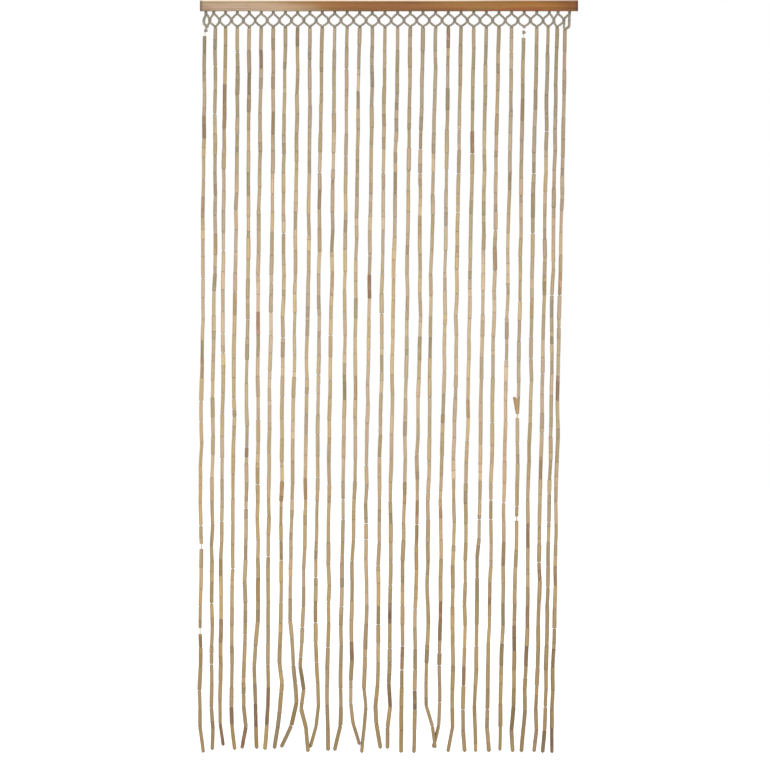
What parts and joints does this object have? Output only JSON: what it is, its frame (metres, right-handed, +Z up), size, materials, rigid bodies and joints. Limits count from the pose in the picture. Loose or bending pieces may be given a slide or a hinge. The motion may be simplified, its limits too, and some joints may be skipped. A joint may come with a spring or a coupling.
{
  "type": "bamboo bead door curtain with its head rail",
  "caption": "Bead curtain for a doorway: strings of bamboo tubes hang from a wooden head rail below a knotted cord heading, and part to let people through.",
  "frame": {"origin": "middle of the head rail's back face, in the plane of the wall or door frame behind it", "axes": "+Z up, +X to the right seen from the front, -Y out of the wall towards the viewer"},
  "size_m": [0.9043, 0.018, 1.7859],
  "materials": {
    "rail_wood": "satin varnished mid-brown wood",
    "bamboo": "natural bamboo tube, lightly polished",
    "heading_cord": "taupe-grey twisted cotton cord"
  },
  "bodies": {
    "root": {"rail": "rail_wood", "heading_and_strings": "bamboo"}
  },
  "joints": []
}
